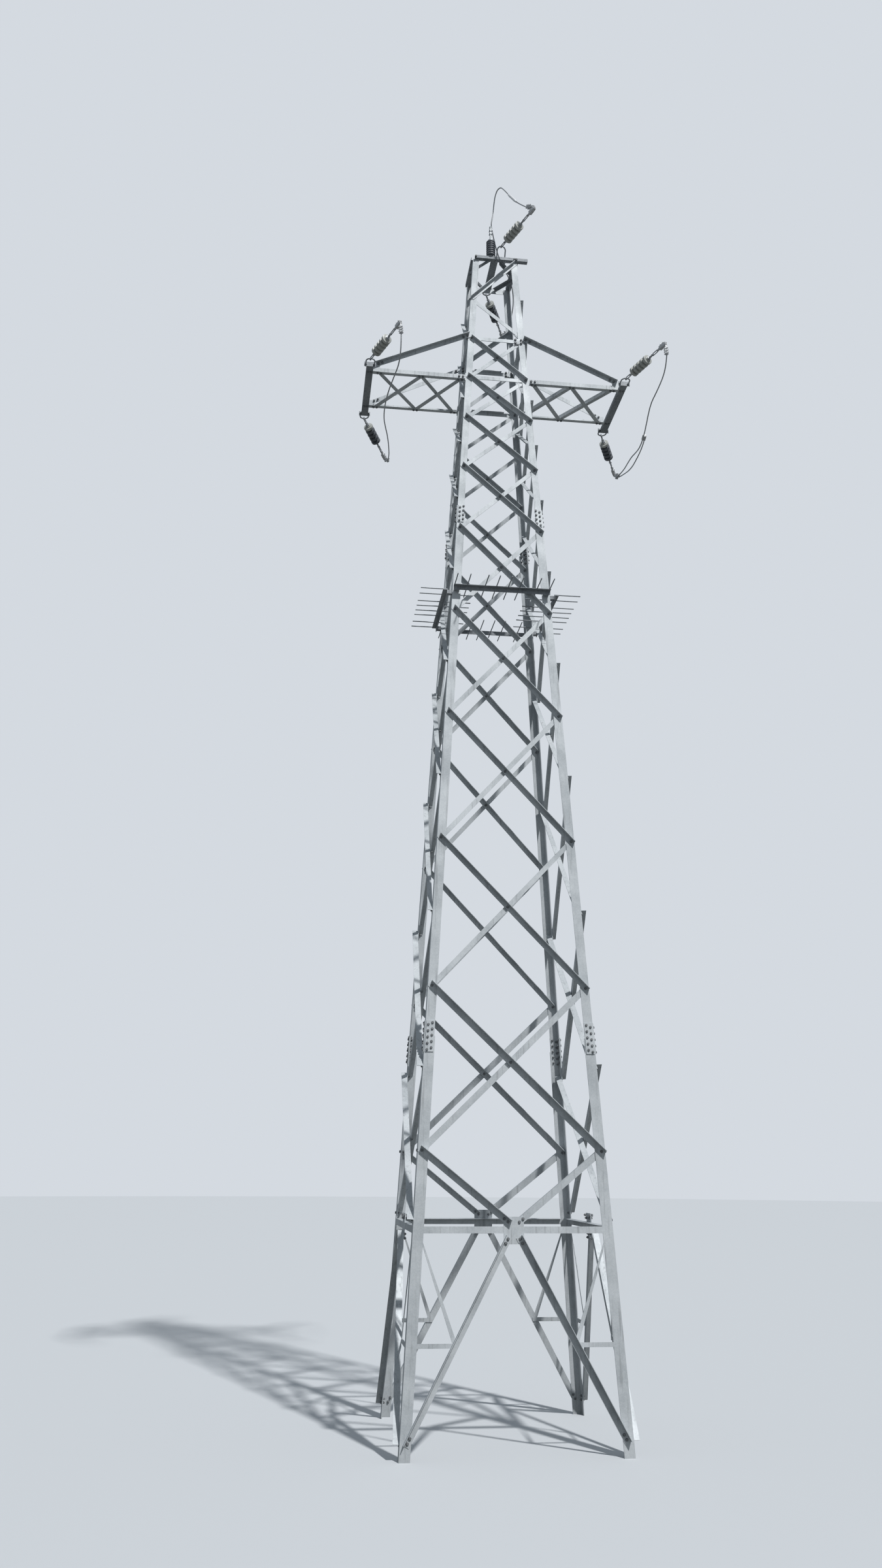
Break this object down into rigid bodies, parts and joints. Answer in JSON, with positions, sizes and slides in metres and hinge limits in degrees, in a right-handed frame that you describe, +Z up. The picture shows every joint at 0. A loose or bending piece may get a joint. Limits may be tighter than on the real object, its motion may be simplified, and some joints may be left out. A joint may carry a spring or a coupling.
{
  "type": "lattice transmission pylon",
  "caption": "Square tapered lattice tower of steel angles with paired cross-arms, a small head, tension insulators and jumper loops for a three-phase line.",
  "frame": {"origin": "the tower's axis at ground level, in the plane of the four leg ends", "axes": "+Z up, X along the cross-arms, -Y towards the side with the near strings"},
  "size_m": [3.4213, 2.5091, 13.9936],
  "materials": {
    "galvanised_steel": "matte",
    "bright_steel": "satin",
    "weathered_steel": "matte",
    "forged_steel": "satin",
    "insulator_grey": "satin",
    "dull_aluminium": "satin"
  },
  "bodies": {
    "root": {"lower_legs": "galvanised_steel", "middle_legs": "galvanised_steel", "upper_legs": "galvanised_steel", "lower_splice_plates": "galvanised_steel", "upper_splice_plates": "galvanised_steel", "base_beams": "galvanised_steel", "arm_level_beams": "galvanised_steel", "arm_cleats": "galvanised_steel", "left_arm": "galvanised_steel", "right_arm": "galvanised_steel", "left_ties": "galvanised_steel", "right_ties": "galvanised_steel", "front_top_beam": "galvanised_steel", "back_top_beam": "galvanised_steel", "side_top_beams": "galvanised_steel", "long_top_channel": "galvanised_steel", "head_knee_braces": "galvanised_steel", "front_lower_lattice": "galvanised_steel", "front_upper_lattice": "galvanised_steel", "front_base_braces": "galvanised_steel", "right_lower_lattice": "galvanised_steel", "right_upper_lattice": "galvanised_steel", "right_base_braces": "galvanised_steel", "back_lower_lattice": "galvanised_steel", "back_upper_lattice": "galvanised_steel", "back_base_braces": "galvanised_steel", "left_lower_lattice": "galvanised_steel", "left_upper_lattice": "galvanised_steel", "left_base_braces": "galvanised_steel", "left_tip_channel": "bright_steel", "right_tip_channel": "bright_steel", "front_guard": "weathered_steel", "right_guard": "weathered_steel", "back_guard": "weathered_steel", "left_guard": "weathered_steel", "post_insulator": "insulator_grey", "near_insulators": "insulator_grey", "far_insulators": "insulator_grey", "string_ubolts": "forged_steel", "chain_links": "forged_steel", "strain_clamps": "dull_aluminium", "jumper_connectors": "dull_aluminium", "jumper_joint": "dull_aluminium", "left_jumper": "dull_aluminium", "right_jumper": "dull_aluminium", "right_twin_jumper": "dull_aluminium", "top_jumper": "dull_aluminium"}
  },
  "joints": []
}
